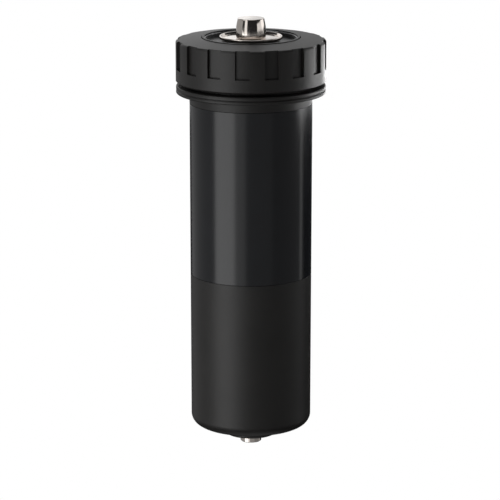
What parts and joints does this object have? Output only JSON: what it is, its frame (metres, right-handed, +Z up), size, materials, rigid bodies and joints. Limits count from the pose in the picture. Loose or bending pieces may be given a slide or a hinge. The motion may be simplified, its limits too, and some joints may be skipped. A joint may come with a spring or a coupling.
{
  "type": "magnetic system filter",
  "caption": "Canister magnetic filter for a heating circuit, with a screw collar, lift-out magnet core, air vent and drain plug, hung on its pipework by two rear ports.",
  "frame": {"origin": "midway between the end faces of the two rear ports, where the pipework holds the filter", "axes": "+Z up, parallel to the canister's axis; +Y out of the rear ports towards the pipework; +X to the right seen from the front"},
  "size_m": [0.127, 0.1473, 0.3708],
  "materials": {
    "black_plastic": "fine moulded satin black, glass-filled nylon",
    "label_film": "glossy black film, bare",
    "sleeve_plastic": "satin black moulding",
    "nickel_plate": "polished nickel plate on brass",
    "steel": "bright steel",
    "magnet_plate": "nickel-plated magnet",
    "brass": "machined brass",
    "rubber": "black sealing rubber",
    "fibre": "red sealing fibre"
  },
  "bodies": {
    "canister": {"canister": "black_plastic", "label_wrap": "label_film", "drain_insert": "brass", "port_spigot_upper": "nickel_plate", "port_spigot_lower": "nickel_plate", "port_seal_upper": "rubber", "port_seal_lower": "rubber"},
    "lid": {"lid": "black_plastic", "lid_seal": "rubber", "retaining_ring": "steel", "magnet_sleeve": "sleeve_plastic", "sleeve_seal": "rubber"},
    "collar": {"collar": "black_plastic", "lift_ring": "steel"},
    "core": {"core_head": "nickel_plate", "head_seal_upper": "rubber", "head_seal_lower": "rubber", "vent_body": "nickel_plate", "core_rod": "steel", "magnet_1": "magnet_plate", "magnet_2": "magnet_plate", "magnet_3": "magnet_plate", "magnet_4": "magnet_plate", "magnet_5": "magnet_plate", "magnet_6": "magnet_plate", "magnet_7": "magnet_plate", "magnet_8": "magnet_plate", "pole_1": "steel", "pole_2": "steel", "pole_3": "steel", "pole_4": "steel", "pole_5": "steel", "pole_6": "steel", "pole_7": "steel", "pole_8": "steel", "pole_9": "steel", "end_washer": "steel", "end_nut": "steel"},
    "vent_seal": {"vent_washer": "rubber"},
    "vent_cap": {"vent_cap": "nickel_plate"},
    "drain_seal": {"drain_seal": "fibre"},
    "drain_plug": {"drain_plug": "nickel_plate"}
  },
  "joints": [
    {"name": "lid_rise", "type": "slide", "parent": "canister", "child": "lid", "axis": [0, 0, 1], "range_m": [0, 0.0121]},
    {"name": "collar_turn", "type": "hinge", "parent": "lid", "child": "collar", "pos_m": [0, -0.0838, 0], "axis": [0, 0, 1], "range_deg": [0, 720]},
    {"name": "core_lift", "type": "slide", "parent": "lid", "child": "core", "axis": [0, 0, 1], "range_m": [0, 0.27]},
    {"name": "vent_rise", "type": "slide", "parent": "core", "child": "vent_seal", "axis": [0, 0, 1], "range_m": [0, 0.0031]},
    {"name": "vent_turn", "type": "hinge", "parent": "vent_seal", "child": "vent_cap", "pos_m": [0, -0.0838, 0], "axis": [0, 0, 1], "range_deg": [0, 720]},
    {"name": "drain_drop", "type": "slide", "parent": "canister", "child": "drain_seal", "axis": [0, 0, -1], "range_m": [0, 0.0121]},
    {"name": "drain_turn", "type": "hinge", "parent": "drain_seal", "child": "drain_plug", "pos_m": [0, -0.0838, 0], "axis": [0, 0, -1], "range_deg": [0, 3240]}
  ],
  "couplings": [
    {"joint": "lid_rise", "follows": "collar_turn", "m_per_rad": 0.00095493},
    {"joint": "vent_rise", "follows": "vent_turn", "m_per_rad": 0.00023873},
    {"joint": "drain_drop", "follows": "drain_turn", "m_per_rad": 0.00021279}
  ]
}
